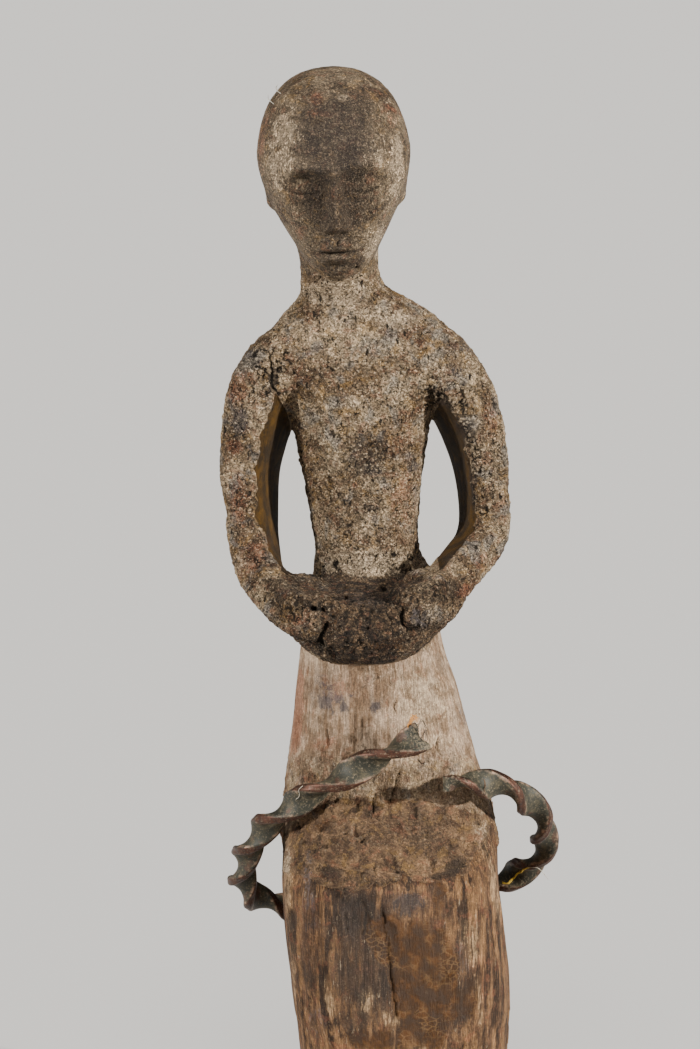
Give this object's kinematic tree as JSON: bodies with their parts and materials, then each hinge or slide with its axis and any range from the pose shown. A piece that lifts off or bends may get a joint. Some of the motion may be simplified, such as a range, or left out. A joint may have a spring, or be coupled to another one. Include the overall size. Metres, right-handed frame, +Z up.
{
  "type": "shrine figure",
  "caption": "Small carved wooden figure on a post, arms bowed round a shallow bowl, with an open twisted copper ring hung round its lap.",
  "frame": {"origin": "middle of the base's flat underside, where the post's middle line meets it", "axes": "+Z up, the figure faces -Y, +X is the figure's left"},
  "size_m": [0.1027, 0.0855, 0.3313],
  "materials": {
    "carved_wood": "dry, crusted and worn",
    "twisted_copper": "dark patina, worn bright along its ridges"
  },
  "bodies": {
    "root": {"figure": "carved_wood", "twisted_ring": "twisted_copper"}
  },
  "joints": []
}
